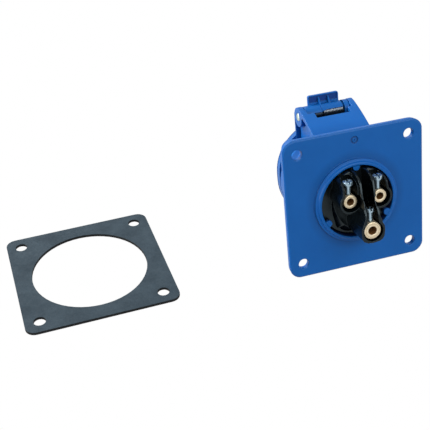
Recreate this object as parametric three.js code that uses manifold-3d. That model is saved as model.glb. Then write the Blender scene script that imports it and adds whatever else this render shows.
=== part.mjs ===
// Panel-mount power inlet, 2 pole + earth, with spring lid and loose flange gasket.
// Millimetres, +Z up. Origin: centre of the flange's rear (mounting) face.
// +Y points out of the rear face, towards the terminals. -Y points out of the front, towards the lid.
import * as THREE from 'three';
import { mergeVertices } from 'three/addons/utils/BufferGeometryUtils.js';
import Module from 'manifold-3d';

const wasm = await Module();
wasm.setup();

// ---------------------------------------------------------------- driving dimensions
const FLANGE = 75;            // square flange side
const FLANGE_T = 3.2;         // flange thickness
const FLANGE_R = 6.7;         // flange corner radius
const FLANGE_EASE = 0.5;      // eased rear edge of the flange
const HOLE_PITCH = 60;        // fixing hole pitch, both ways
const HOLE_D = 5.4;           // fixing hole diameter

const COLLAR_IN = 19.5;       // rear opening radius
const COLLAR_MID = 21.0;      // raised rim outer radius
const COLLAR_OUT = 22.5;      // low step outer radius
const COLLAR_H = 2.7;         // raised rim height over the rear face
const COLLAR_STEP = 1.2;      // low step height
const LUG_W = 3.7;            // retaining lug width
const LUG_TIP = 16.7;         // radius of a lug's inner end

const SEAT_Y = -6.0;          // seat that the carrier disc rests against
const SEAT_T = 2.6;           // thickness of the seat web
const SEAT_R = 16.9;          // radius of the opening in the seat web
const SHROUD_IN = 21.75;      // shroud inner radius
const SHROUD_OUT = 24.3;      // shroud outer radius
const RIM_Y = -42.4;          // front rim of the shroud
const RING_R = 26.4;          // ring round the mouth of the shroud
const RING_Y0 = -40.3, RING_Y1 = -34.2;

const AXIS_Y = -36.0;         // lid hinge axis
const AXIS_Z = 36.5;
const EAR_R = 5.2;            // housing ears round the hinge pin
const EAR_X0 = 12.6;          // inner face of an ear
const BLOCK_X = 15.5;         // half width of the hinge block
const WALL_X0 = 11.2, WALL_X1 = 13.2;
const PIN_R = 2.1;            // hinge pin radius
const PIN_BORE = 2.28;

const PITCH_R = 9.3;          // radius of the contact circle
const POLE_X = 7.9, POLE_Z = 4.9;   // line and neutral contacts
const EARTH_Z = -9.3;               // earth contact
const POLE_FACE = 12.0;       // rear face of the line and neutral barrels
const EARTH_FACE = 19.6;      // rear face of the earth barrel
const PINS_Y = -40.5;         // front tips of the contact pins

const LID_R = 26.3;           // lid radius
const LID_ZC = 4.0;           // the lid is lengthened this much towards its hinge
const LID_Y0 = -41.0;         // rear edge of the lid's skirt
const LID_Y1 = -46.0;         // front edge of the lid's skirt
const STRAP_Y0 = -42.2, STRAP_Y1 = -40.75;
const TAB_Y0 = -39.5, TAB_Y1 = -38.0, TAB_X = 8.6, TAB_Z = 46.2;

const SPRING_R = 3.3, SPRING_WIRE = 0.34, SPRING_TURNS = 13, SPRING_PITCH = 0.815;
const SPRING_X0 = 1.95;

const GASKET = 74.6, GASKET_T = 1.5, GASKET_BORE = 28.75, GASKET_HOLE = 2.95;

// ---------------------------------------------------------------- solid helpers
function solid(geometry) {
  let g = geometry.clone();
  g.deleteAttribute('normal');
  g.deleteAttribute('uv');
  g = mergeVertices(g, 1e-4);
  const verts = new Float32Array(g.attributes.position.array);
  let tris = new Uint32Array(g.index.array);
  // drop collapsed triangles
  const keep = [];
  for (let i = 0; i < tris.length; i += 3) {
    const [a, b, c] = [tris[i], tris[i + 1], tris[i + 2]];
    if (a !== b && b !== c && c !== a) keep.push(a, b, c);
  }
  tris = new Uint32Array(keep);
  let vol = 0;
  for (let i = 0; i < tris.length; i += 3) {
    const p = [0, 1, 2].map((k) => [0, 1, 2].map((j) => verts[3 * tris[i + k] + j]));
    vol += p[0][0] * (p[1][1] * p[2][2] - p[1][2] * p[2][1])
      - p[0][1] * (p[1][0] * p[2][2] - p[1][2] * p[2][0])
      + p[0][2] * (p[1][0] * p[2][1] - p[1][1] * p[2][0]);
  }
  if (vol < 0) for (let i = 0; i < tris.length; i += 3) [tris[i + 1], tris[i + 2]] = [tris[i + 2], tris[i + 1]];
  return new wasm.Manifold(new wasm.Mesh({ numProp: 3, vertProperties: verts, triVerts: tris }));
}
const join = (first, ...rest) => rest.reduce((a, b) => a.add(b), first);
const cut = (first, ...rest) => rest.reduce((a, b) => a.subtract(b), first);

const poly = (pts) => new THREE.Shape(pts.map(([x, y]) => new THREE.Vector2(x, y)));
// shape in (x, z), from y = y1 back to y = y0
function alongY(shape, y0, y1, seg = 8) {
  const g = new THREE.ExtrudeGeometry(shape, { depth: y1 - y0, bevelEnabled: false, curveSegments: seg });
  g.rotateX(Math.PI / 2).translate(0, y1, 0);
  return solid(g);
}
// shape in (y, z), from x = x0 to x = x1
function alongX(shape, x0, x1, seg = 8) {
  const g = new THREE.ExtrudeGeometry(shape, { depth: x1 - x0, bevelEnabled: false, curveSegments: seg });
  g.applyMatrix4(new THREE.Matrix4().set(0, 0, 1, x0, 1, 0, 0, 0, 0, 1, 0, 0, 0, 0, 0, 1));
  return solid(g);
}
// profile of [radius, y] pairs, closed by itself or by the axis, turned about the Y axis through (x, z)
function turned(profile, seg, x = 0, z = 0) {
  const pts = profile.map(([r, y]) => new THREE.Vector2(r, y));
  if (profile[0][0] > 0 || profile[profile.length - 1][0] > 0) pts.push(pts[0].clone());
  const g = new THREE.LatheGeometry(pts, seg);
  g.translate(x, 0, z);
  return solid(g);
}
const rodY = (r, y0, y1, seg, x = 0, z = 0) => turned([[0, y0], [r, y0], [r, y1], [0, y1]], seg, x, z);
function rodX(r, x0, x1, seg, y, z) {
  const g = new THREE.CylinderGeometry(r, r, x1 - x0, seg);
  g.rotateZ(Math.PI / 2).translate((x0 + x1) / 2, y, z);
  return solid(g);
}
function rodZ(r, z0, z1, seg, x, y) {
  const g = new THREE.CylinderGeometry(r, r, z1 - z0, seg);
  g.rotateX(Math.PI / 2).translate(x, y, (z0 + z1) / 2);
  return solid(g);
}
function box(x0, x1, y0, y1, z0, z1) {
  const g = new THREE.BoxGeometry(x1 - x0, y1 - y0, z1 - z0);
  g.translate((x0 + x1) / 2, (y0 + y1) / 2, (z0 + z1) / 2);
  return solid(g);
}
// ring of points round a circle arc, in (x, z)
function arc(cx, cz, r, a0, a1, n) {
  const out = [];
  for (let i = 0; i <= n; i++) {
    const a = ((a0 + (a1 - a0) * i / n) * Math.PI) / 180;
    out.push([cx + r * Math.cos(a), cz + r * Math.sin(a)]);
  }
  return out;
}
function roundedSquare(side, r, n = 6) {
  const h = side / 2 - r;
  return [...arc(h, h, r, 0, 90, n), ...arc(-h, h, r, 90, 180, n), ...arc(-h, -h, r, 180, 270, n), ...arc(h, -h, r, 270, 360, n)];
}
// joins a bottom and a top outline that have the same number of points
function loft(bottom, top) {
  const n = bottom.length;
  const pos = [];
  const b = bottom.map((p) => new THREE.Vector3(...p)), t = top.map((p) => new THREE.Vector3(...p));
  const cb = b.reduce((s, p) => s.add(p), new THREE.Vector3()).multiplyScalar(1 / n);
  const ct = t.reduce((s, p) => s.add(p), new THREE.Vector3()).multiplyScalar(1 / n);
  const tri = (p, q, r) => pos.push(p.x, p.y, p.z, q.x, q.y, q.z, r.x, r.y, r.z);
  for (let i = 0; i < n; i++) {
    const j = (i + 1) % n;
    tri(b[i], b[j], t[j]);
    tri(b[i], t[j], t[i]);
    tri(b[j], b[i], cb);
    tri(t[i], t[j], ct);
  }
  const g = new THREE.BufferGeometry();
  g.setAttribute('position', new THREE.Float32BufferAttribute(pos, 3));
  return solid(g);
}

const root = new THREE.Group();
function piece(name, manifold, colour, roughness, metalness, parent = root) {
  const m = manifold.getMesh();
  const g = new THREE.BufferGeometry();
  g.setAttribute('position', new THREE.BufferAttribute(new Float32Array(m.vertProperties), 3));
  g.setIndex(new THREE.BufferAttribute(new Uint32Array(m.triVerts), 1));
  g.computeVertexNormals();
  const mesh = new THREE.Mesh(g, new THREE.MeshStandardMaterial({ color: colour, roughness, metalness }));
  mesh.name = name;
  parent.add(mesh);
  return mesh;
}

// ---------------------------------------------------------------- flange housing
const holes = [[1, 1], [-1, 1], [-1, -1], [1, -1]];
const ring3 = (side, r, y) => roundedSquare(side, r, 7).map(([x, z]) => [x, y, z]);
let plate = join(alongY(poly(roundedSquare(FLANGE, FLANGE_R, 7)), -FLANGE_T, -FLANGE_EASE + 0.01),
  loft(ring3(FLANGE, FLANGE_R, -FLANGE_EASE), ring3(FLANGE - 2 * FLANGE_EASE, FLANGE_R - FLANGE_EASE, 0)));

// body of revolution: collar, seat web, shroud, mouth ring
const bodyProfile = [
  [COLLAR_IN, COLLAR_H], [COLLAR_IN, SEAT_Y], [SEAT_R, SEAT_Y], [SEAT_R, SEAT_Y - SEAT_T],
  [SHROUD_IN, SEAT_Y - SEAT_T], [SHROUD_IN, RIM_Y], [SHROUD_OUT - 0.5, RIM_Y], [SHROUD_OUT, RIM_Y + 0.6],
  [SHROUD_OUT, RING_Y0], [RING_R - 0.4, RING_Y0], [RING_R, RING_Y0 + 0.4], [RING_R, RING_Y1], [SHROUD_OUT + 0.4, RING_Y1 + 2.2],
  [SHROUD_OUT + 0.7, -FLANGE_T], [COLLAR_OUT, -FLANGE_T], [COLLAR_OUT, COLLAR_STEP], [COLLAR_MID + 0.3, COLLAR_STEP + 0.1], [COLLAR_MID, COLLAR_H - 0.4],
  [COLLAR_MID - 0.4, COLLAR_H],
];
let housing = join(cut(plate, rodY(COLLAR_OUT - 0.6, -FLANGE_T - 1, 1, 48)), turned(bodyProfile, 60));

// keyway bulge at the bottom of the shroud, with its groove inside
housing = join(housing, cut(box(-6.2, 6.2, RING_Y1, -FLANGE_T + 0.1, -27.4, -22.6), rodY(SHROUD_IN + 0.8, -50, 5, 48)));
housing = join(housing, cut(box(-6.2, 6.2, RING_Y0, RING_Y1 + 1, -27.4, -22.6), rodY(SHROUD_IN + 0.8, -50, 5, 48)));
housing = cut(housing, box(-4.1, 4.1, RIM_Y - 1, SEAT_Y - SEAT_T - 0.01, -23.6, -19), box(-4.1, 4.1, RING_Y0 + 1.2, SEAT_Y - SEAT_T - 0.01, -25.4, -19));

// retaining lugs
for (const a of [90, 210, 330]) {
  const lug = alongY(poly([[LUG_TIP + LUG_W / 2, -LUG_W / 2], [COLLAR_IN + 0.6, -LUG_W / 2], [COLLAR_IN + 0.6, LUG_W / 2],
    ...arc(LUG_TIP + LUG_W / 2, 0, LUG_W / 2, 90, 270, 8).slice(0, -1)]), -0.1, COLLAR_H - 0.15);
  housing = join(housing, lug.rotate([0, -a, 0]));
}

// hinge block: an arched roof on two side walls, with an ear each side round the hinge pin
const roofTop = [[-3.0, 24.6], [-7, 28.1], [-12, 31.4], [-17.3, 34.4], [-21.7, 36.55], [-26, 38.45], [-30, 40.0], [-33.4, 41.2], [-36, 41.7]];
const ear = arc(AXIS_Y, AXIS_Z, EAR_R, 90, 360, 18);          // front, bottom and back of the ear
const roofUnder = [[-30.8, 36.5], [-29.9, 37.3], [-26, 36.1], [-21.7, 34.2], [-17.3, 32.0], [-12, 29.0], [-7, 25.7], [-3.0, 22]];
const earOutline = poly([...roofTop, ...ear.slice(1), ...roofUnder.slice(1)]);
const roofOutline = poly([...roofTop.slice(0, 8), [-33.4, 38.9], [-30.3, 37.7], ...roofUnder.slice(2)]);
let block = join(
  alongX(earOutline, EAR_X0, BLOCK_X), alongX(earOutline, -BLOCK_X, -EAR_X0),
  alongX(roofOutline, -EAR_X0 - 0.1, EAR_X0 + 0.1),
);
const wallOutline = poly([[-3.0, 18], [-39.2, 18], [-39.2, 31.4], [-32.6, 32.2], [-25, 36.9], [-21.7, 35.4], [-17.3, 33.2], [-12, 30.2], [-7, 26.9], [-3.0, 23]]);
block = join(block, alongX(wallOutline, WALL_X0, WALL_X1), alongX(wallOutline, -WALL_X1, -WALL_X0));
// cross web that the spring's fixed leg bears on
block = join(block, box(-WALL_X0 - 0.5, WALL_X0 + 0.5, -31.95, -30.4, 22, 33.0));
// cut-out for the lid's knuckle, and the window over the spring
block = cut(block, box(-12.4, 12.4, -45, -29.5, 34, 45), box(-10.1, 8.6, -30, -25.5, 34, 45));
block = cut(block, rodX(EAR_R + 0.45, -12.4, 12.4, 32, AXIS_Y, AXIS_Z));
block = cut(block, rodY(SHROUD_OUT - 0.8, -50, 5, 48));
housing = join(housing, block);
housing = cut(housing, rodX(PIN_BORE, -BLOCK_X - 1, BLOCK_X + 1, 20, AXIS_Y, AXIS_Z));
for (const [sx, sz] of holes) housing = cut(housing, turned([[0, -FLANGE_T - 1], [HOLE_D / 2, -FLANGE_T - 1], [HOLE_D / 2, -0.3], [HOLE_D / 2 + 0.7, 0.4], [0, 0.4]], 24, sx * HOLE_PITCH / 2, sz * HOLE_PITCH / 2));
piece('flange_housing', housing, 0x1f62ad, 0.45, 0);

// ---------------------------------------------------------------- contact carrier
const DISC_R = 19.1, DISC_Y1 = -0.45, DISC_Y0 = SEAT_Y + 1.3;
let carrier = turned([[0, DISC_Y0], [DISC_R, DISC_Y0], [DISC_R, DISC_Y1 - 0.5], [DISC_R - 0.5, DISC_Y1], [0, DISC_Y1]], 60);
carrier = join(carrier, rodY(SEAT_R - 0.4, -10.2, DISC_Y0 + 0.1, 48));
// locating key of the front boss, towards the keyway
carrier = join(carrier, box(-3.2, 3.2, -10.2, SEAT_Y - SEAT_T - 0.3, -19.6, -15));

// outlines of the terminal chambers in (x, z)
const keyhole = (r, hw, top) => (sx) => {
  const zj = POLE_Z + Math.sqrt(r * r - hw * hw);
  const a = (Math.atan2(zj - POLE_Z, hw) * 180) / Math.PI;
  const c = POLE_X - 0.55;                                    // the screw channel leans towards the middle
  const pts = [...arc(POLE_X, POLE_Z, r, a, -180 - (a), 22).map(([x, z]) => [x, z]), [c - hw, top - 1.6], [c - hw + 1.6, top], [c + hw - 1.6, top], [c + hw, top - 1.6]];
  return poly(pts.map(([x, z]) => [sx * x, z]));
};
const poleOuter = keyhole(6.05, 4.3, 18.0), poleInner = keyhole(4.95, 3.3, 16.8);
const earthOuter = poly([[3.9, 18.2], [3.9, -1.6], [4.6, -3.6], ...arc(0.0, -9.0, 6.3, 35, -12, 5), [5.9, -12.6], [4.9, -14.2], [3.2, -15.1], [0, -15.5],
  [-3.2, -15.1], [-4.9, -14.2], [-5.9, -12.6], ...arc(0, -9.0, 6.3, 192, 145, 5), [-4.6, -3.6], [-3.9, -1.6], [-3.9, 18.2]]);
const earthInner = poly([[2.85, 19.5], [2.85, -3.0], ...arc(0, EARTH_Z, 5.25, 52, -232, 22), [-2.85, -3.0], [-2.85, 19.5]]);
const FLOOR = 1.6;           // floor of the chambers

// height limits of the towers
const poleSide = alongX(poly([[-2, -4], [13.3, -4], [13.3, 8.5], [12.6, 12.6], [10.6, 14.2], [5.6, 15.6], [4.6, 19], [-2, 19]]), -20, 20);
const earthSide = alongX(poly([[-2, -16], [20.8, -16], [20.8, -2.4], [20.0, 0.4], [18.0, 3.4], [16.6, 6.4], [15.8, 9], [14.6, 14.5], [12.4, 16.6], [7.2, 18.4], [-2, 18.4]]), -8, 8);
const barrelKeep = turned([[0, -2], [DISC_R - 0.3, -2], [DISC_R - 0.3, 30], [0, 30]], 60);

let towers = join(
  alongY(poleOuter(1), DISC_Y1 - 0.2, 13.3).intersect(poleSide).intersect(barrelKeep),
  alongY(poleOuter(-1), DISC_Y1 - 0.2, 13.3).intersect(poleSide).intersect(barrelKeep),
  alongY(earthOuter, DISC_Y1 - 0.2, 20.8).intersect(earthSide).intersect(barrelKeep),
);
// raised ramps beside the earth tower, with sloped outer faces
const ramp = (sx) => {
  const outer = [[13.0, 3.0], [13.35, 0], [13.3, -3.4], [12.9, -6.4], [12.2, -9.4], [11.6, -12.2], [10.6, -14.1], [9.4, -14.0], [8.6, -15.2], [6.6, -16.4], [4.0, -17.1]];
  const inner = [[12.9, 3.0], [12.6, 0.3], [12.1, -2.5], [11.3, -5.2], [10.3, -7.7], [9.1, -9.7], [8.2, -10.9], [7.4, -11.8], [6.6, -12.4], [5.6, -13.1], [4.0, -13.9]];
  const core = [[4.0, -3], [9.5, 2.6]];
  const h = (i) => 0.4 + 2.3 * Math.min(1, (i + 1) / 6);
  const b = [...outer.map(([x, z]) => [sx * x, DISC_Y1 - 0.2, z]), ...core.map(([x, z]) => [sx * x, DISC_Y1 - 0.2, z])];
  const t = [...inner.map(([x, z], i) => [sx * x, DISC_Y1 + h(i), z]), ...core.map(([x, z], i) => [sx * x, DISC_Y1 + (i ? 0.8 : 2.6), z])];
  return loft(b, t);
};
towers = join(towers, ramp(1), ramp(-1));
carrier = join(carrier, towers);
// hollow the chambers
carrier = cut(carrier,
  alongY(poleInner(1), FLOOR, 25), alongY(poleInner(-1), FLOOR, 25), alongY(earthInner, FLOOR, 25));
// bores for the contacts
const GAP = 0.18;
carrier = cut(carrier,
  rodY(2.5 + GAP, -12, 3, 20, POLE_X, POLE_Z), rodY(2.5 + GAP, -12, 3, 20, -POLE_X, POLE_Z), rodY(3.5 + GAP, -12, 3, 24, 0, EARTH_Z));
carrier = cut(carrier,
  rodY(3.6 + GAP, -2.5, 5, 24, POLE_X, POLE_Z), rodY(3.6 + GAP, -2.5, 5, 24, -POLE_X, POLE_Z), rodY(4.6 + GAP, -2.5, 5, 24, 0, EARTH_Z));
// room for the housing's three lugs
for (const a of [90, 210, 330]) {
  const w = LUG_W / 2 + 0.35, c = LUG_TIP + LUG_W / 2;
  carrier = cut(carrier, alongY(poly([[c, -w], [25, -w], [25, w], ...arc(c, 0, w, 90, 270, 8).slice(0, -1)]), -0.44, 24).rotate([0, -a, 0]));
}
piece('contact_carrier', carrier, 0x0d0f12, 0.35, 0);

// flat seal between the carrier disc and the seat web
piece('carrier_seal', turned([[17.2, SEAT_Y + 0.15], [19.2, SEAT_Y + 0.15], [19.2, DISC_Y0 - 0.15], [17.2, DISC_Y0 - 0.15]], 48), 0x2c3036, 0.8, 0);

// ---------------------------------------------------------------- contacts
function contact(name, x, z, rBarrel, rPin, rBore, face, tip, screwY, rHole) {
  const base = -2.3;
  const p = [[0, tip], [rPin - 1.3, tip], [rPin - 0.45, tip + 0.55], [rPin, tip + 1.6], [rPin, base], [rBarrel, base], [rBarrel, face - 0.5], [rBarrel - 0.07, face - 0.25], [rBarrel - 0.25, face - 0.07], [rBarrel - 0.5, face],
    [rBore + 0.42, face], [rBore + 0.2, face - 0.06], [rBore + 0.06, face - 0.2], [rBore, face - 0.42], [rBore, face - 11.5], [0, face - 12.7]];
  let c = turned(p, 24, x, z);
  c = cut(c, rodZ(rHole, z, z + rBarrel + 1, 16, x, screwY));
  piece(name, c, 0xd8c9a0, 0.3, 1);
}
const POLE_SCREW_Y = 9.2, EARTH_SCREW_Y = 16.6;
contact('line_contact', POLE_X, POLE_Z, 3.6, 2.5, 1.85, POLE_FACE, PINS_Y, POLE_SCREW_Y, 1.62);
contact('neutral_contact', -POLE_X, POLE_Z, 3.6, 2.5, 1.85, POLE_FACE, PINS_Y, POLE_SCREW_Y, 1.62);
contact('earth_contact', 0, EARTH_Z, 4.6, 3.5, 2.2, EARTH_FACE, PINS_Y - 1.2, EARTH_SCREW_Y, 1.62);

// terminal screws: slotted cheese head on a short neck, flat-ended shank
function terminalScrew(name, x, y, zTip, zHead, rHead = 2.6) {
  const g = new THREE.LatheGeometry([[0, zTip], [1.0, zTip], [1.32, zTip + 0.4], [1.32, zHead], [rHead - 0.7, zHead], [rHead - 0.7, zHead + 0.7], [rHead, zHead + 0.9], [rHead, zHead + 2.5],
    [rHead - 0.3, zHead + 2.85], [0, zHead + 2.85]].map(([r, h]) => new THREE.Vector2(r, h)), 20);
  g.rotateX(Math.PI / 2).translate(x, y, 0);
  let s = solid(g);
  s = cut(s, box(x - 0.45, x + 0.45, y - 3, y + 3, zHead + 1.75, zHead + 4).rotate([0, 0, 0]));
  s = cut(s, box(x - 1.5, x + 1.5, y - 0.4, y + 0.4, zHead + 1.75, zHead + 4));
  piece(name, s, 0xc6ccd2, 0.3, 1);
}
terminalScrew('line_terminal_screw', POLE_X, POLE_SCREW_Y, 7.0, 12.5);
terminalScrew('neutral_terminal_screw', -POLE_X, POLE_SCREW_Y, 7.0, 12.5);
terminalScrew('earth_terminal_screw', 0, EARTH_SCREW_Y, -6.9, -0.8, 2.15);

// ---------------------------------------------------------------- hinge pin
const pinG = new THREE.LatheGeometry([[0, -15.5], [PIN_R - 0.35, -15.5], [PIN_R, -15.15], [PIN_R, 15.25], [PIN_R - 0.35, 15.6], [0, 15.6]].map(([r, h]) => new THREE.Vector2(r, h)), 20);
pinG.rotateZ(-Math.PI / 2).translate(0, AXIS_Y, AXIS_Z);
piece('hinge_pin', solid(pinG), 0xb9c3b9, 0.4, 0.6);

// ---------------------------------------------------------------- lid
const lidOutline = (r, dz = 0) => poly([...arc(0, LID_ZC + dz, r, 0, 180, 26), ...arc(0, 0, r, 180, 360, 26)]);
let lid = loft(
  [...arc(0, LID_ZC, LID_R, 0, 180, 26), ...arc(0, 0, LID_R, 180, 360, 26)].map(([x, z]) => [x, LID_Y0, z]),
  [...arc(0, LID_ZC, LID_R - 0.25, 0, 180, 26), ...arc(0, 0, LID_R - 0.25, 180, 360, 26)].map(([x, z]) => [x, LID_Y1 + 0.8, z]),
);
const domeRing = (r, y) => [...arc(0, LID_ZC, r, 0, 180, 26), ...arc(0, 0, r, 180, 360, 26)].map(([x, z]) => [x, y, z]);
lid = join(lid, loft(domeRing(LID_R - 0.25, LID_Y1 + 0.81), domeRing(LID_R - 1.2, LID_Y1)), loft(domeRing(LID_R - 1.2, LID_Y1 + 0.01), domeRing(LID_R - 7, LID_Y1 - 1.2)));
lid = cut(lid, alongY(poly([...arc(0, 0.6, LID_R - 1.5, 0, 180, 26), ...arc(0, 0, LID_R - 1.5, 180, 360, 26)]), LID_Y1 + 2.1, LID_Y0 + 1));
// shoulders where the round lid runs into the hinge strap
const shoulder = (x0) => [[13.8, 26.1], [16.4, 24.15], [18.6, 22.6], [20.8, 21.2], [21.9, 20.3], [22.6, 19.35], [23.0, 18.1], [23.15, 17.1], [23.6, 14.0]].map(([x, z]) => [x - x0, z]);
const shoulders = (x0) => poly([...shoulder(x0), ...shoulder(x0).reverse().map(([x, z]) => [-x, z])]);
lid = join(lid, alongY(shoulders(0), LID_Y1 + 1.4, LID_Y0), alongY(shoulders(0.4), LID_Y1 + 0.9, LID_Y1 + 1.5));
lid = cut(lid, alongY(poly([...arc(0, 0.6, LID_R - 1.5, 0, 180, 26), ...arc(0, 0, LID_R - 1.5, 180, 360, 26)]), LID_Y1 + 2.1, LID_Y0 + 1));
// hinge strap, knuckle and finger tab
const STRAP_X = 15.2;
const strap = poly([[STRAP_X, 20], [STRAP_X, 30.7], [12.15, 30.7], [12.15, 36], [-12.15, 36], [-12.15, 30.7], [-STRAP_X, 30.7], [-STRAP_X, 20]]);
// a thinner apron of the strap covers the fronts of the ears
lid = join(lid, box(-STRAP_X, STRAP_X, STRAP_Y0, STRAP_Y0 + 0.72, 29, 37.6));
lid = join(lid, cut(alongY(strap, STRAP_Y0, STRAP_Y1), alongY(poly([...arc(0, 0.6, LID_R - 1.5, 0, 180, 26), ...arc(0, 0, LID_R - 1.5, 180, 360, 26)]), LID_Y1 + 2.1, LID_Y0 + 1)));
const K_R = 5.05;
let knuckle = join(rodX(K_R, -8.7, 12.15, 32, AXIS_Y, AXIS_Z), rodX(K_R, -12.15, -9.6, 32, AXIS_Y, AXIS_Z));
// the strap plate blends into the knuckle's front
knuckle = join(knuckle, alongX(poly([[STRAP_Y0, 31.8], [STRAP_Y1, 31.8], [AXIS_Y - 3.4, 33.6], [AXIS_Y - 1.5, 41.2], [AXIS_Y - 3.4, 40.4], [STRAP_Y0, 37.6]]), -12.15, 12.15));
// spring pocket: hollow, open to the rear and below
knuckle = cut(knuckle, rodX(4.25, -9.6, 2.7, 28, AXIS_Y, AXIS_Z), box(-9.6, 2.7, AXIS_Y - 4.25 + 0.5, AXIS_Y + 6, AXIS_Z - 6, AXIS_Z),
  box(-9.6, 2.7, STRAP_Y1 + 0.0, AXIS_Y + 6, AXIS_Z - 8, AXIS_Z - 0.5),
  alongX(poly([[AXIS_Y, AXIS_Z], [AXIS_Y + 8, AXIS_Z + 5.6], [AXIS_Y + 8, AXIS_Z - 3], [AXIS_Y, AXIS_Z - 3]]), -9.6, 1.1),
  alongX(poly([[AXIS_Y, AXIS_Z], [AXIS_Y + 8, AXIS_Z + 4.7], [AXIS_Y + 8, AXIS_Z - 3], [AXIS_Y, AXIS_Z - 3]]), 1.1, 2.7));
// beside the spring the knuckle is a hollow boss, open the same way, with a groove round its end
knuckle = cut(knuckle, rodX(3.5, 2.6, 8.8, 28, AXIS_Y, AXIS_Z), box(2.6, 8.8, AXIS_Y - 3.2, AXIS_Y + 6, AXIS_Z - 6, AXIS_Z),
  alongX(poly([[AXIS_Y, AXIS_Z], [AXIS_Y + 8, AXIS_Z + 3.7], [AXIS_Y + 8, AXIS_Z - 3], [AXIS_Y, AXIS_Z - 3]]), 2.6, 8.8),
  cut(rodX(6, 3.0, 3.4, 28, AXIS_Y, AXIS_Z), rodX(4.6, 2.9, 3.5, 28, AXIS_Y, AXIS_Z), box(2, 4, AXIS_Y - 8, AXIS_Y + 1.7, 28, 45)));
const tabShape = poly([[TAB_X, 38], [TAB_X, TAB_Z - 1.2], ...arc(TAB_X - 1, TAB_Z - 1.0, 1.0, 0, 90, 4).slice(1), ...arc(1 - TAB_X, TAB_Z - 1.0, 1.0, 90, 180, 4), [-TAB_X, 38]]);
let tab = alongY(tabShape, TAB_Y0, TAB_Y1);
tab = cut(tab, box(-TAB_X + 0.65, TAB_X - 0.65, TAB_Y1 - 0.75, TAB_Y1 + 1, 42.2, TAB_Z - 0.65));
const gusset = poly([[TAB_Y1 - 0.8, 45.0], [TAB_Y1 - 0.2, 45.0], [-34.9, 41.35], [-35, 40], [TAB_Y1 - 0.8, 40]]);
tab = join(tab, alongX(gusset, 2.25, 3.05), alongX(gusset, -3.05, -2.25));
lid = join(lid, knuckle, cut(tab, rodX(4.3, -9.6, 2.7, 28, AXIS_Y, AXIS_Z)));
lid = cut(lid, rodX(4.1, -9.6, 2.7, 28, AXIS_Y, AXIS_Z), box(1.1, 2.7, -40.6, -36, 31, 36.5));
lid = cut(lid, rodX(PIN_BORE, -13, 13, 20, AXIS_Y, AXIS_Z));
// shallow grip recess ring on the face, and a lip below for the fingertip
lid = join(lid, cut(alongY(poly([[-6, -26], [6, -26], [5, -29.4], [-5, -29.4]]), LID_Y1 + 0.4, LID_Y1 + 2.4), rodY(LID_R - 1.4, -50, 0, 52)));
piece('lid', lid, 0x1f62ad, 0.42, 0);

// seal ring inside the lid, against the shroud rim
piece('lid_seal', turned([[20.9, LID_Y1 + 2.35], [24.6, LID_Y1 + 2.35], [24.6, RIM_Y - 0.2], [20.9, RIM_Y - 0.2]].map(([r, y]) => [r, y]), 48), 0x24272b, 0.85, 0);

// ---------------------------------------------------------------- lid spring
class Coil extends THREE.Curve {
  getPoint(t, out = new THREE.Vector3()) {
    // one leg down the strap, the coils, the other leg down the cross web
    const legA = 7.2, legB = 7.0, coil = SPRING_TURNS * 2 * Math.PI * SPRING_R + Math.PI * SPRING_R;
    const total = legA + coil + legB;
    let s = t * total;
    if (s < legA) return out.set(SPRING_X0, AXIS_Y - SPRING_R, AXIS_Z - legA + s);
    s -= legA;
    const len = SPRING_TURNS * SPRING_PITCH;
    if (s <= coil) {
      const f = s / coil, a = Math.PI - f * (SPRING_TURNS * 2 + 1) * Math.PI;
      return out.set(SPRING_X0 - f * len, AXIS_Y + SPRING_R * Math.cos(a), AXIS_Z + SPRING_R * Math.sin(a));
    }
    s -= coil;
    return out.set(SPRING_X0 - len, AXIS_Y + SPRING_R, AXIS_Z - s);
  }
}
{
  const wire = new THREE.Shape(arc(0, 0, SPRING_WIRE, 0, 300, 5).map(([x, y]) => new THREE.Vector2(x, y)));
  const g = new THREE.ExtrudeGeometry(wire, { steps: 190, bevelEnabled: false, extrudePath: new Coil() });
  piece('lid_spring', solid(g), 0xaab0b5, 0.3, 1);
}

// ---------------------------------------------------------------- flange gasket, loose beside the inlet
{
  let g = alongY(poly(roundedSquare(GASKET, 4.9, 6)), -GASKET_T / 2, GASKET_T / 2);
  g = cut(g, rodY(GASKET_BORE, -5, 5, 56));
  for (const [sx, sz] of holes) g = cut(g, rodY(GASKET_HOLE, -5, 5, 16, sx * HOLE_PITCH / 2, sz * HOLE_PITCH / 2));
  const mesh = piece('flange_gasket', g, 0x4b5560, 0.8, 0);
  const tilt = -11.8 * Math.PI / 180, yaw = 1.31 * Math.PI / 180;
  const n = new THREE.Vector3(0, -Math.sin(tilt), Math.cos(tilt));       // gasket's upper side
  const ex = new THREE.Vector3(Math.cos(yaw), Math.sin(yaw) * Math.cos(tilt), Math.sin(yaw) * Math.sin(tilt));
  const ez = new THREE.Vector3().crossVectors(ex, n);
  mesh.matrixAutoUpdate = true;
  const basis = new THREE.Matrix4().makeBasis(ex, n, ez);
  mesh.quaternion.setFromRotationMatrix(basis);
  mesh.position.set(137.42, -15.95, -14.517).addScaledVector(n, -GASKET_T / 2);
}

export default root;
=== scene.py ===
import math

import bmesh
import bpy
from mathutils import Matrix, Vector


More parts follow.
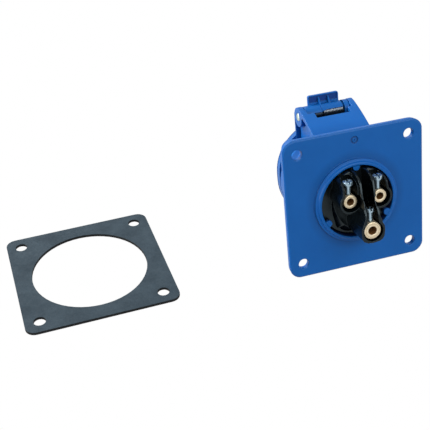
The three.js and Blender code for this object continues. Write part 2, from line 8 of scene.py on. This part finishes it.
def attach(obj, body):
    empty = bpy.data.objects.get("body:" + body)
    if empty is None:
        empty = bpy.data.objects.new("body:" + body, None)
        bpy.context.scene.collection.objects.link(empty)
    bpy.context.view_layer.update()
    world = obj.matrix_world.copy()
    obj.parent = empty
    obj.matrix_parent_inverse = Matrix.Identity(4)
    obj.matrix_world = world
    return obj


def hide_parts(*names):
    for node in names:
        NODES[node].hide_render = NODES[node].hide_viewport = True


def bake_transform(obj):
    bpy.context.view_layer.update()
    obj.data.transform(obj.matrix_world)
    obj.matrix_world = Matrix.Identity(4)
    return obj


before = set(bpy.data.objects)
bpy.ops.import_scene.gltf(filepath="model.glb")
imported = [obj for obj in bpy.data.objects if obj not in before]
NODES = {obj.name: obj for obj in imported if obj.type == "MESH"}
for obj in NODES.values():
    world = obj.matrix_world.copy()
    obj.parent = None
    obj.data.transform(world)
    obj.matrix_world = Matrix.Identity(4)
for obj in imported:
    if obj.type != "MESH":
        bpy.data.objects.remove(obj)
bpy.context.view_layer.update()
MM = 0.001

# ------------------------------------------------------------------ camera
RIGHT = Vector((-0.95671799, 0.27368484, -0.09893079))
UP = Vector((-0.19995072, -0.37118820, 0.90677397))
BACK = Vector((0.21144835, 0.88730825, 0.40984591))
EYE = Vector((167.109087, 389.704216, 187.674867)) * MM

cam_data = bpy.data.cameras.new("camera")
cam_data.sensor_fit = "HORIZONTAL"
cam_data.sensor_width = 36.0
cam_data.lens = 75.173
cam_data.clip_start = 0.01
cam_data.clip_end = 20.0
cam = bpy.data.objects.new("camera", cam_data)
bpy.context.scene.collection.objects.link(cam)
m = Matrix((
    (RIGHT.x, UP.x, BACK.x, EYE.x),
    (RIGHT.y, UP.y, BACK.y, EYE.y),
    (RIGHT.z, UP.z, BACK.z, EYE.z),
    (0, 0, 0, 1),
))
cam.matrix_world = m
bpy.context.scene.camera = cam
bpy.context.scene.view_settings.view_transform = "Standard"
bpy.context.scene.view_settings.look = "None"


# ------------------------------------------------------------------ material helpers
class Nodes:
    """A small helper round one material's node tree."""

    def __init__(self, name):
        self.mat = bpy.data.materials.new(name)
        self.mat.use_nodes = True
        self.t = self.mat.node_tree
        self.t.nodes.clear()
        self.out = self.t.nodes.new("ShaderNodeOutputMaterial")
        self.bsdf = self.t.nodes.new("ShaderNodeBsdfPrincipled")
        self.t.links.new(self.bsdf.outputs[0], self.out.inputs[0])
        self.coord = self.t.nodes.new("ShaderNodeTexCoord")

    def link(self, a, b):
        self.t.links.new(a, b)

    def set(self, **values):
        for k, v in values.items():
            self.bsdf.inputs[k.replace("_", " ")].default_value = v

    def noise(self, scale, detail=3.0, rough=0.55, distortion=0.0, stretch=None):
        n = self.t.nodes.new("ShaderNodeTexNoise")
        n.inputs["Scale"].default_value = scale
        n.inputs["Detail"].default_value = detail
        n.inputs["Roughness"].default_value = rough
        n.inputs["Distortion"].default_value = distortion
        src = self.coord.outputs["Object"]
        if stretch:
            mp = self.t.nodes.new("ShaderNodeMapping")
            mp.inputs["Scale"].default_value = stretch
            self.link(src, mp.inputs["Vector"])
            src = mp.outputs[0]
        self.link(src, n.inputs["Vector"])
        return n.outputs[0]

    def voronoi(self, scale, feature="F1"):
        n = self.t.nodes.new("ShaderNodeTexVoronoi")
        n.feature = feature
        n.inputs["Scale"].default_value = scale
        self.link(self.coord.outputs["Object"], n.inputs["Vector"])
        return n.outputs["Distance"]

    def remap(self, value, lo, hi, a=0.0, b=1.0):
        n = self.t.nodes.new("ShaderNodeMapRange")
        n.inputs["From Min"].default_value = a
        n.inputs["From Max"].default_value = b
        n.inputs["To Min"].default_value = lo
        n.inputs["To Max"].default_value = hi
        self.link(value, n.inputs["Value"])
        return n.outputs[0]

    def mix(self, value, c0, c1):
        n = self.t.nodes.new("ShaderNodeMix")
        n.data_type = "RGBA"
        for sock, c in ((n.inputs[6], c0), (n.inputs[7], c1)):
            if isinstance(c, (tuple, list)):
                sock.default_value = (*c[:3], 1.0)
            else:
                self.link(c, sock)
        self.link(value, n.inputs[0])
        return n.outputs[2]

    def math(self, op, a, b=None, c=None):
        n = self.t.nodes.new("ShaderNodeMath")
        n.operation = op
        for i, v in enumerate((a, b, c)):
            if v is None:
                continue
            if isinstance(v, (int, float)):
                n.inputs[i].default_value = v
            else:
                self.link(v, n.inputs[i])
        return n.outputs[0]

    def axis(self, i):
        n = self.t.nodes.new("ShaderNodeSeparateXYZ")
        self.link(self.coord.outputs["Object"], n.inputs[0])
        return n.outputs[i]

    def pointy(self):
        n = self.t.nodes.new("ShaderNodeNewGeometry")
        return n.outputs["Pointiness"]

    def colour(self, sock):
        self.link(sock, self.bsdf.inputs["Base Color"])

    def rough(self, sock):
        self.link(sock, self.bsdf.inputs["Roughness"])

    def bump(self, pairs):
        """pairs of (height socket, strength, distance in metres)"""
        prev = None
        for sock, strength, dist in pairs:
            b = self.t.nodes.new("ShaderNodeBump")
            b.inputs["Strength"].default_value = strength
            b.inputs["Distance"].default_value = dist
            self.link(sock, b.inputs["Height"])
            if prev is not None:
                self.link(prev, b.inputs["Normal"])
            prev = b.outputs[0]
        self.link(prev, self.bsdf.inputs["Normal"])


def srgb(r, g, b):
    def f(v):
        v /= 255.0
        return v / 12.92 if v <= 0.04045 else ((v + 0.055) / 1.055) ** 2.4
    return (f(r), f(g), f(b))


def moulded_blue(name, c_lo, c_hi, rough_lo, rough_hi, recess=None, painted_shade_colour=None, halo_shade=None):
    n = Nodes(name)
    n.set(IOR=1.5)
    n.bsdf.inputs["Specular IOR Level"].default_value = 0.33
    n.bsdf.inputs["Specular Tint"].default_value = (0.84, 1.0, 0.96, 1.0)
    n.bsdf.inputs["Subsurface Weight"].default_value = 0.06
    n.bsdf.inputs["Subsurface Radius"].default_value = (0.0004, 0.0008, 0.0016)
    cloud = n.remap(n.noise(55, 4.0, 0.6), 0.0, 1.0, 0.3, 0.7)
    base = n.mix(cloud, c_lo, c_hi)
    # painted shade: the flange is darkened close round the collar
    if halo_shade is not None:
        base = n.mix(halo_shade(n), base, tuple(v * 0.66 for v in c_lo))
    # painted shade: the recess mask darkens spots that lie in shade
    if recess is not None:
        base = n.mix(recess(n), base, painted_shade_colour)
    n.colour(base)
    n.rough(n.remap(n.noise(900, 3.0, 0.6), rough_lo, rough_hi, 0.3, 0.7))
    n.bump([(n.noise(3400, 2.0, 0.5), 0.22, 0.00003), (n.noise(260, 2.0, 0.5), 0.12, 0.00006)])
    return n.mat




def collar_painted_shade(n):
    """Painted shade and painted reflection of the black carrier: 1 on the collar's inner wall, 0 elsewhere."""
    x, y, z = n.axis(0), n.axis(1), n.axis(2)
    r = n.math("SQRT", n.math("ADD", n.math("MULTIPLY", x, x), n.math("MULTIPLY", z, z)))
    deep = n.math("MULTIPLY", n.remap(y, 1.0, 0.0, 0.0012, 0.0022), n.remap(y, 0.0, 1.0, -0.0075, -0.0065))
    wall = n.math("MULTIPLY", n.remap(r, 1.0, 0.0, 0.0199, 0.0202), deep)
    return n.math("MULTIPLY", wall, 0.9)


def rear_painted_shade(n):
    """Painted shade on the collar's inner wall, and in the sunk gate mark above it."""
    x, y, z = n.axis(0), n.axis(1), n.axis(2)
    dx, dz = n.math("ADD", x, 0.0005), n.math("SUBTRACT", z, 0.03218)
    d = n.math("SQRT", n.math("ADD", n.math("MULTIPLY", dx, dx), n.math("MULTIPLY", dz, dz)))
    gate = n.math("MULTIPLY", n.remap(d, 1.0, 0.0, 0.0020, 0.0021), n.remap(y, 1.0, 0.0, -0.00022, -0.00010))
    gate = n.math("MULTIPLY", gate, n.remap(y, 0.0, 0.45, -0.0012, -0.001))
    return n.math("MAXIMUM", gate, collar_painted_shade(n))


def collar_painted_halo(n):
    """Painted shade on the flange close round the collar."""
    x, y, z = n.axis(0), n.axis(1), n.axis(2)
    r = n.math("SQRT", n.math("ADD", n.math("MULTIPLY", x, x), n.math("MULTIPLY", z, z)))
    near = n.math("MULTIPLY", n.remap(r, 0.7, 0.0, 0.0224, 0.0275), n.remap(r, 0.0, 1.0, 0.0222, 0.0224))
    return n.math("MULTIPLY", near, n.remap(y, 0.0, 1.0, -0.0012, -0.0004))


# painted shade round and inside the collar and in the sunk gate mark
M_BLUE = moulded_blue("blue_housing", srgb(3, 92, 173), srgb(9, 97, 180), 0.36, 0.44, rear_painted_shade, srgb(24, 28, 66), collar_painted_halo)


def tab_recess_shade(n):
    """Painted shade: 1 on the floor of the recess in the lid's finger tab, 0 elsewhere."""
    x, y, z = n.axis(0), n.axis(1), n.axis(2)
    inside = n.math("MULTIPLY", n.remap(n.math("ABSOLUTE", x), 1.0, 0.0, 0.0079, 0.00805),
                    n.remap(z, 0.0, 1.0, 0.0421, 0.0424))
    inside = n.math("MULTIPLY", inside, n.remap(z, 1.0, 0.0, 0.0454, 0.04555))
    deep = n.math("MULTIPLY", n.remap(y, 0.0, 1.0, -0.0391, -0.0389), n.remap(y, 1.0, 0.0, -0.0383, -0.0381))
    return n.remap(n.math("MULTIPLY", inside, deep), 0.0, 0.8)


# painted shade on the floor of the tab's recess
M_BLUE_LID = moulded_blue("blue_lid", srgb(4, 91, 170), srgb(10, 96, 176), 0.36, 0.44, tab_recess_shade, srgb(22, 50, 118))


def black_moulding():
    n = Nodes("black_carrier")
    n.set(IOR=1.5)
    n.bsdf.inputs["Specular IOR Level"].default_value = 0.36
    n.bsdf.inputs["Specular Tint"].default_value = (0.72, 0.92, 1.0, 1.0)
    dust = n.remap(n.noise(140, 5.0, 0.65), 0.0, 0.6, 0.42, 0.72)
    n.colour(n.mix(dust, srgb(3, 7, 10), srgb(9, 14, 18)))
    n.rough(n.remap(n.noise(420, 4.0, 0.6), 0.2, 0.28, 0.3, 0.7))
    n.bump([(n.noise(1900, 2.0, 0.5), 0.02, 0.00001), (n.noise(90, 2.0, 0.5), 0.03, 0.00004)])
    return n.mat


M_BLACK = black_moulding()


def brass():
    n = Nodes("contact_brass")
    n.set(Metallic=1.0)
    tarnish = n.remap(n.noise(420, 4.0, 0.6), 0.0, 1.0, 0.35, 0.7)
    face = n.mix(tarnish, srgb(238, 224, 196), srgb(222, 204, 168))
    # the inside of each wire bore is darker: it lies close to the contact's own axis
    x, z = n.axis(0), n.axis(2)

    def near(cx, cz, r0, r1):
        dx = n.math("SUBTRACT", x, cx)
        dz = n.math("SUBTRACT", z, cz)
        d = n.math("SQRT", n.math("ADD", n.math("MULTIPLY", dx, dx), n.math("MULTIPLY", dz, dz)))
        return n.remap(d, 1.0, 0.0, r0, r1)

    dark = n.math("MAXIMUM", near(0.0079, 0.0049, 0.00186, 0.00196),
                  n.math("MAXIMUM", near(-0.0079, 0.0049, 0.00186, 0.00196), near(0.0, -0.0093, 0.00221, 0.00231)))
    rear = n.remap(n.axis(1), 0.0, 1.0, -0.0015, 0.0005)
    dark = n.math("MULTIPLY", dark, rear)
    bore = n.mix(n.remap(n.noise(1500, 3.0, 0.6), 0.0, 1.0, 0.35, 0.65), srgb(112, 78, 42), srgb(150, 108, 64))

    # painted shade on each face: a duller ring between the two bright lips
    def lip_shade_ring(cx, cz, r):
        d = near(cx, cz, r - 0.00016, r + 0.00006)
        e = near(cx, cz, r - 0.00042, r - 0.0002)
        return n.math("SUBTRACT", d, e)

    ring = n.math("MAXIMUM", lip_shade_ring(0.0079, 0.0049, 0.00305),
                  n.math("MAXIMUM", lip_shade_ring(-0.0079, 0.0049, 0.00305), lip_shade_ring(0.0, -0.0093, 0.0037)))
    face = n.mix(n.math("MULTIPLY", ring, 0.75), face, srgb(168, 150, 118))
    n.colour(n.mix(dark, face, bore))
    n.link(n.remap(dark, 0.6, 0.1), n.bsdf.inputs["Metallic"])
    n.rough(n.remap(n.noise(700, 3.0, 0.6), 0.34, 0.48, 0.3, 0.7))
    # turning marks run round each contact: fine rings
    n.bump([(n.noise(2600, 2.0, 0.5, stretch=(1, 0.15, 1)), 0.1, 0.00002)])
    return n.mat


M_BRASS = brass()


def zinc(name, c0, c1, r0, r1, bump=0.1, metal=0.8, painted_shade_inside=None, painted_shade_below=None):
    n = Nodes(name)
    n.set(Metallic=metal)
    base = n.mix(n.remap(n.noise(600, 4.0, 0.6), 0.0, 1.0, 0.35, 0.65), c0, c1)
    if painted_shade_inside is not None:
        # painted shade: the middle of the part, within the given distance of x = 0, is darkened
        inner = n.remap(n.math("ABSOLUTE", n.axis(0)), 1.0, 0.0, painted_shade_inside - 0.0004, painted_shade_inside)
        base = n.mix(inner, base, srgb(44, 58, 74))
    if painted_shade_below is not None:
        # painted shade: the part is darkened below the given height
        low = n.remap(n.axis(2), 1.0, 0.0, painted_shade_below - 0.0006, painted_shade_below + 0.0005)
        base = n.mix(low, base, srgb(30, 42, 54))
    n.colour(base)
    n.rough(n.remap(n.noise(1400, 3.0, 0.6), r0, r1, 0.3, 0.7))
    n.bump([(n.noise(3000, 2.0, 0.5), bump, 0.00002)])
    return n.mat


M_ZINC = zinc("zinc_screw", srgb(146, 172, 186), srgb(172, 194, 208), 0.14, 0.26)
M_PIN = zinc("pin_finish", srgb(186, 198, 188), srgb(204, 214, 202), 0.38, 0.5, painted_shade_inside=0.0142)
M_SPRING = zinc("spring_steel", srgb(206, 218, 228), srgb(224, 232, 240), 0.34, 0.44, 0.0, metal=0.55, painted_shade_below=0.0381)


def rubber(name, c0, c1, grain, r0=0.7, r1=0.86, side_painted_shade=None):
    n = Nodes(name)
    n.set(IOR=1.45)
    n.bsdf.inputs["Specular IOR Level"].default_value = 0.35
    cloud = n.remap(n.noise(90, 5.0, 0.65), 0.0, 1.0, 0.35, 0.66)
    speck = n.remap(n.voronoi(grain), 0.55, 1.0, 0.1, 0.45)
    base = n.mix(cloud, c0, c1)
    base = n.mix(speck, tuple(v * 0.78 for v in c0), base)
    if side_painted_shade is not None:
        # painted shade: faces of the sheet that face sideways, its edges and hole walls, are darkened
        g = n.t.nodes.new("ShaderNodeNewGeometry")
        sep = n.t.nodes.new("ShaderNodeSeparateXYZ")
        n.link(g.outputs["Normal"], sep.inputs[0])
        base = n.mix(n.remap(sep.outputs[2], 1.0, 0.0, 0.35, 0.75), base, side_painted_shade)
    n.colour(base)
    n.rough(n.remap(n.noise(600, 3.0, 0.6), r0, r1, 0.3, 0.7))
    n.bump([(n.voronoi(grain), 0.3, 0.00006), (n.noise(2400, 3.0, 0.6), 0.25, 0.00005)])
    return n.mat


M_GASKET = rubber("gasket_sheet", srgb(38, 53, 63), srgb(54, 69, 79), 1500, side_painted_shade=srgb(3, 6, 9))
M_SEAL = rubber("seal_rubber", srgb(26, 28, 31), srgb(34, 36, 40), 2200, 0.55, 0.7)


# ------------------------------------------------------------------ mesh helpers
def tidy(me, flat_deg=0.35):
    bm = bmesh.new()
    bm.from_mesh(me)
    bmesh.ops.remove_doubles(bm, verts=bm.verts, dist=2e-6)
    bmesh.ops.dissolve_limit(bm, angle_limit=math.radians(flat_deg), use_dissolve_boundaries=False,
                             verts=bm.verts, edges=bm.edges, delimit=set())
    bm.normal_update()
    bm.to_mesh(me)
    bm.free()


def soften(me, sharp_deg):
    bm = bmesh.new()
    bm.from_mesh(me)
    for f in bm.faces:
        f.smooth = True
    lim = math.radians(sharp_deg)
    for e in bm.edges:
        e.smooth = len(e.link_faces) == 2 and e.calc_face_angle(0.0) < lim
    bm.to_mesh(me)
    bm.free()


def steady_normals(me):
    """Corner normals in which the largest faces of each smooth fan decide, so flats stay flat up to their rounded edges."""
    bm = bmesh.new()
    bm.from_mesh(me)
    bm.normal_update()
    area = [f.calc_area() for f in bm.faces]
    out = [None] * sum(len(f.loops) for f in bm.faces)
    start, k = [], 0
    for f in bm.faces:
        start.append(k)
        for i, l in enumerate(f.loops):
            l.index = k + i
        k += len(f.loops)
    for v in bm.verts:
        loops = list(v.link_loops)
        group = {l.face.index: l.face.index for l in loops}

        def top(i):
            while group[i] != i:
                i = group[i]
            return i
        for e in v.link_edges:
            if e.smooth and len(e.link_faces) == 2:
                a, b = top(e.link_faces[0].index), top(e.link_faces[1].index)
                if a != b:
                    group[a] = b
        fans = {}
        for l in loops:
            fans.setdefault(top(l.face.index), []).append(l)
        for fan in fans.values():
            big = max(area[l.face.index] for l in fan)
            n = Vector((0, 0, 0))
            for l in fan:
                share = area[l.face.index] / big if big > 0 else 1.0
                n += l.face.normal * (min(1.0, share * 3.0) ** 2) * l.calc_angle()
            n = n.normalized() if n.length > 1e-9 else fan[0].face.normal
            for l in fan:
                out[l.index] = n if n.length > 0.5 else l.face.normal
    bm.free()
    me.normals_split_custom_set([tuple(n) if n is not None else (0, 0, 0) for n in out])


def bake_modifiers(obj):
    bpy.context.view_layer.update()
    dg = bpy.context.evaluated_depsgraph_get()
    me = bpy.data.meshes.new_from_object(obj.evaluated_get(dg), preserve_all_data_layers=True, depsgraph=dg)
    obj.modifiers.clear()
    obj.data = me
    return obj


def cutter(name, bm):
    me = bpy.data.meshes.new(name)
    bm.normal_update()
    bm.to_mesh(me)
    bm.free()
    o = bpy.data.objects.new(name, me)
    bpy.context.scene.collection.objects.link(o)
    o.hide_render = True
    return o


def fine(node, name, body, mat, bevel=0.2, segs=2, edge_deg=38, sharp_deg=34, cuts=(), cut_fn=None):
    """A finer copy of a CAD node: merged flats, rounded edges, smooth shading."""
    me = NODES[node].data.copy()
    me.name = name
    me.materials.clear()
    obj = bpy.data.objects.new(name, me)
    bpy.context.scene.collection.objects.link(obj)
    tidy(me)
    for kind, other in cuts:
        mod = obj.modifiers.new("cut", "BOOLEAN")
        mod.operation = kind
        mod.solver = "EXACT"
        mod.object = other
    if cuts:
        bake_modifiers(obj)
        tidy(obj.data)
    if bevel:
        mod = obj.modifiers.new("bevel", "BEVEL")
        mod.width = bevel * MM
        mod.segments = segs
        mod.limit_method = "ANGLE"
        mod.angle_limit = math.radians(edge_deg)
        mod.use_clamp_overlap = False
        mod.miter_outer = "MITER_ARC"
        mod.profile = 0.5
        mod.loop_slide = True
        bake_modifiers(obj)
    # the rounding may not carry a corner outside the node's own box
    own = NODES[node].data.vertices
    for i in range(3):
        lo, hi = min(v.co[i] for v in own), max(v.co[i] for v in own)
        for v in obj.data.vertices:
            v.co[i] = min(max(v.co[i], lo), hi)
    soften(obj.data, sharp_deg)
    steady_normals(obj.data)
    obj.data.name = name
    obj.data.materials.clear()
    obj.data.materials.append(mat)
    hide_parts(node)
    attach(obj, body)
    return obj


def ring_y(bm, r_in, r_out, y0, y1, cx, cz, seg=48):
    """A ring (or a disc when r_in is 0) round Y, added to bm, in millimetres."""
    def circle(r, y):
        return [bm.verts.new(((cx + r * math.cos(2 * math.pi * i / seg)) * MM, y * MM,
                              (cz + r * math.sin(2 * math.pi * i / seg)) * MM)) for i in range(seg)]
    o0, o1 = circle(r_out, y0), circle(r_out, y1)
    if r_in > 0:
        i0, i1 = circle(r_in, y0), circle(r_in, y1)
        for k in range(seg):
            j = (k + 1) % seg
            bm.faces.new((o0[k], o0[j], o1[j], o1[k]))
            bm.faces.new((i0[j], i0[k], i1[k], i1[j]))
            bm.faces.new((o0[j], o0[k], i0[k], i0[j]))
            bm.faces.new((o1[k], o1[j], i1[j], i1[k]))
    else:
        for k in range(seg):
            j = (k + 1) % seg
            bm.faces.new((o0[k], o0[j], o1[j], o1[k]))
        bm.faces.new(list(reversed(o0)))
        bm.faces.new(o1)
    bmesh.ops.recalc_face_normals(bm, faces=bm.faces)


# ------------------------------------------------------------------ pieces
# gate mark on the rear face: a shallow ring with a small pip hole in the middle
bm = bmesh.new()
ring_y(bm, 1.15, 2.0, -0.4, 0.6, -0.5, 32.18)
gate_ring = cutter("gate_ring_cutter", bm)
bm = bmesh.new()
ring_y(bm, 0, 0.36, -0.55, 0.6, -0.5, 32.18, 20)
gate_dot = cutter("gate_dot_cutter", bm)

housing = fine("flange_housing", "housing", "inlet_body", M_BLUE, bevel=0.28, segs=3,
               cuts=(("DIFFERENCE", gate_ring), ("DIFFERENCE", gate_dot)))
lid = fine("lid", "spring_lid", "lid_body", M_BLUE_LID, bevel=0.2, segs=3)
carrier = fine("contact_carrier", "carrier", "inlet_body", M_BLACK, bevel=0.2, segs=3)
fine("carrier_seal", "seal_under_carrier", "inlet_body", M_SEAL, bevel=0.15)
fine("lid_seal", "seal_in_lid", "lid_body", M_SEAL, bevel=0.2)
for nm in ("line", "neutral", "earth"):
    fine(nm + "_contact", nm + "_pin_contact", "inlet_body", M_BRASS, bevel=0.12, segs=2, edge_deg=30)
    fine(nm + "_terminal_screw", nm + "_screw", nm + "_screw_body", M_ZINC, bevel=0.12, segs=2, edge_deg=30)
fine("hinge_pin", "pin_of_hinge", "inlet_body", M_PIN, bevel=0.1, segs=2, edge_deg=30)
gasket = fine("flange_gasket", "loose_gasket", "inlet_body", M_GASKET, bevel=0.1, segs=2)
for o in (gate_ring, gate_dot):
    bpy.data.objects.remove(o)

# the wound lid spring: a round wire swept along its own line
AXIS_Y, AXIS_Z, R, X0, TURNS, PITCH, WIRE = -36.0, 36.5, 3.3, 1.95, 13, 0.815, 0.34


def spring_point(s):
    leg_a, leg_b = 7.2, 7.0
    coil = TURNS * 2 * math.pi * R + math.pi * R
    if s < leg_a:
        return Vector((X0, AXIS_Y - R, AXIS_Z - leg_a + s))
    s -= leg_a
    if s <= coil:
        f = s / coil
        a = math.pi - f * (TURNS * 2 + 1) * math.pi
        return Vector((X0 - f * TURNS * PITCH, AXIS_Y + R * math.cos(a), AXIS_Z + R * math.sin(a)))
    s -= coil
    return Vector((X0 - TURNS * PITCH, AXIS_Y + R, AXIS_Z - s))


def spring_mesh():
    total = 7.2 + 7.0 + TURNS * 2 * math.pi * R + math.pi * R
    steps, around = 560, 10
    pts = [spring_point(total * i / steps) for i in range(steps + 1)]
    bm = bmesh.new()
    rings = []
    side = Vector((1, 0, 0))
    for i, p in enumerate(pts):
        t = (pts[min(i + 1, steps)] - pts[max(i - 1, 0)]).normalized()
        side = (side - t * side.dot(t)).normalized()
        other = t.cross(side)
        rings.append([bm.verts.new((p + (side * math.cos(2 * math.pi * k / around) + other * math.sin(2 * math.pi * k / around)) * WIRE) * MM)
                      for k in range(around)])
    for a, b in zip(rings, rings[1:]):
        for k in range(around):
            j = (k + 1) % around
            bm.faces.new((a[k], a[j], b[j], b[k]))
    bm.faces.new(list(reversed(rings[0])))
    bm.faces.new(rings[-1])
    bmesh.ops.recalc_face_normals(bm, faces=bm.faces)
    me = bpy.data.meshes.new("wound_spring")
    bm.to_mesh(me)
    bm.free()
    return me


spring = bpy.data.objects.new("wound_spring", spring_mesh())
bpy.context.scene.collection.objects.link(spring)
soften(spring.data, 50)
spring.data.materials.append(M_SPRING)
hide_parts("lid_spring")
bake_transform(spring)

# ------------------------------------------------------------------ stage
NRM = Vector((0.0, 0.2045, 0.9789)).normalized()


def camera_white(nt, light, gloss, shown=1.0):
    """White to the eye, bright in reflections, and a softer light on the object."""
    lp = nt.nodes.new("ShaderNodeLightPath")
    first = nt.nodes.new("ShaderNodeMapRange")
    first.inputs["To Min"].default_value = light
    first.inputs["To Max"].default_value = gloss
    nt.links.new(lp.outputs["Is Glossy Ray"], first.inputs["Value"])
    mr = nt.nodes.new("ShaderNodeMapRange")
    nt.links.new(first.outputs[0], mr.inputs["To Min"])
    mr.inputs["To Max"].default_value = shown
    nt.links.new(lp.outputs["Is Camera Ray"], mr.inputs["Value"])
    return mr.outputs[0]


floor_bm = bmesh.new()
bmesh.ops.create_grid(floor_bm, x_segments=1, y_segments=1, size=6.0)
floor_me = bpy.data.meshes.new("floor")
floor_bm.to_mesh(floor_me)
floor_bm.free()
floor = bpy.data.objects.new("floor", floor_me)
bpy.context.scene.collection.objects.link(floor)
floor.rotation_mode = "QUATERNION"
floor.rotation_quaternion = Vector((0, 0, 1)).rotation_difference(NRM)
floor.location = NRM * (-0.0376)
fm = bpy.data.materials.new("pale_floor")
fm.use_nodes = True
nt = fm.node_tree
nt.nodes.clear()
out = nt.nodes.new("ShaderNodeOutputMaterial")
em = nt.nodes.new("ShaderNodeEmission")
em.inputs["Color"].default_value = (1, 1, 1, 1)
nt.links.new(camera_white(nt, 0.12, 0.95), em.inputs["Strength"])
nt.links.new(em.outputs[0], out.inputs[0])
floor.data.materials.append(fm)

world = bpy.data.worlds.new("world")
bpy.context.scene.world = world
world.use_nodes = True
nt = world.node_tree
bg = nt.nodes["Background"]
bg.inputs["Color"].default_value = (1, 1, 1, 1)
nt.links.new(camera_white(nt, 0.42, 0.75), bg.inputs["Strength"])


def area(name, pos, target, size, energy, colour=(1, 1, 1)):
    ld = bpy.data.lights.new(name, "AREA")
    ld.shape = "RECTANGLE"
    ld.size, ld.size_y = size
    ld.energy = energy
    ld.color = colour
    o = bpy.data.objects.new(name, ld)
    bpy.context.scene.collection.objects.link(o)
    o.location = pos
    d = (Vector(target) - Vector(pos)).normalized()
    o.rotation_mode = "QUATERNION"
    o.rotation_quaternion = d.to_track_quat("-Z", "Y")
    return o


area("key", (0.42, -0.5, 0.7), (0.03, -0.02, 0.01), (0.55, 0.45), 6.4)
area("side", (0.95, -0.12, 0.22), (0.03, -0.01, 0), (0.45, 0.6), 7.6)
area("fill", (-0.2, 0.85, 0.42), (0.0, 0, 0), (0.8, 0.6), 5.2)

bpy.context.view_layer.update()
